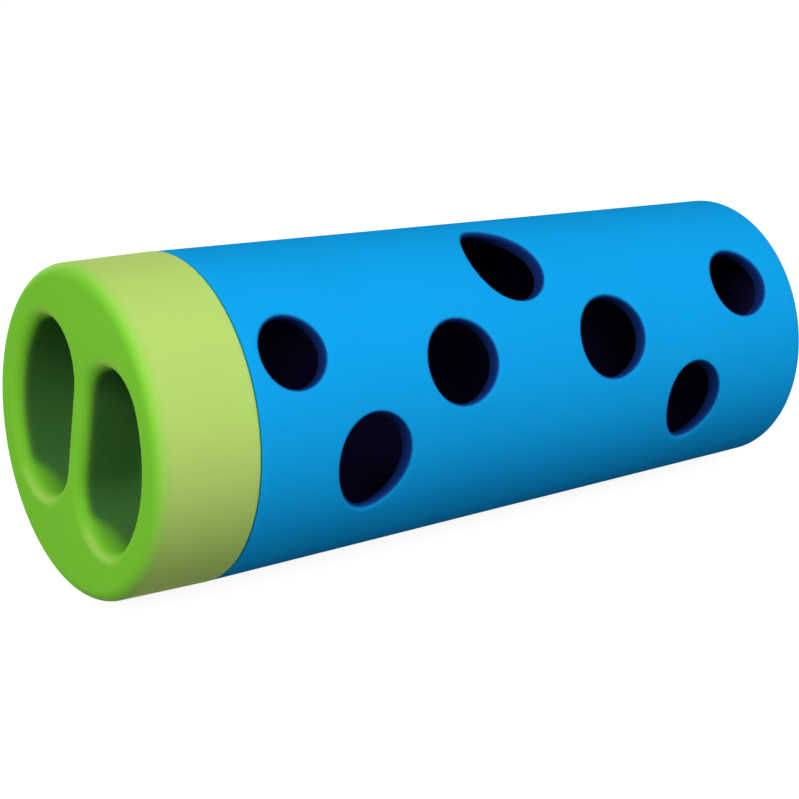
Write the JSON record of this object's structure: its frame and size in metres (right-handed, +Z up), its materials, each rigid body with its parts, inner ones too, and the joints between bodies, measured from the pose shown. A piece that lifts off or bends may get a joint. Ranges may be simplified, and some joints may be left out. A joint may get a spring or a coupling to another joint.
{
  "type": "treat dispensing roll",
  "caption": "Tapered hollow roll with round treat holes in its wall, closed by a screw cap with finger pockets and a pinch bar; treats drop out as a pet rolls it.",
  "frame": {"origin": "on the floor under the middle of the roll as it lies", "axes": "+X along the roll from the cap to the closed end, +Z up from the floor"},
  "size_m": [0.1514, 0.06, 0.0605],
  "materials": {
    "tube": "satin moulded blue",
    "cap": "satin moulded green",
    "seal": "matte elastomer"
  },
  "bodies": {
    "roll": {"tube": "tube"},
    "seal": {"seal_ring": "seal"},
    "screw_cap": {"cap": "cap"}
  },
  "joints": [
    {"name": "cap_lift", "type": "slide", "parent": "roll", "child": "seal", "axis": [-0.9996, 0, 0.0285], "range_m": [0, 0.018]},
    {"name": "cap_twist", "type": "hinge", "parent": "seal", "child": "screw_cap", "pos_m": [-0.07493, 0, 0.03055], "axis": [-0.9996, 0, 0.0285], "range_deg": [0, 540]}
  ],
  "couplings": [
    {"joint": "cap_lift", "follows": "cap_twist", "m_per_rad": 0.0019099}
  ]
}
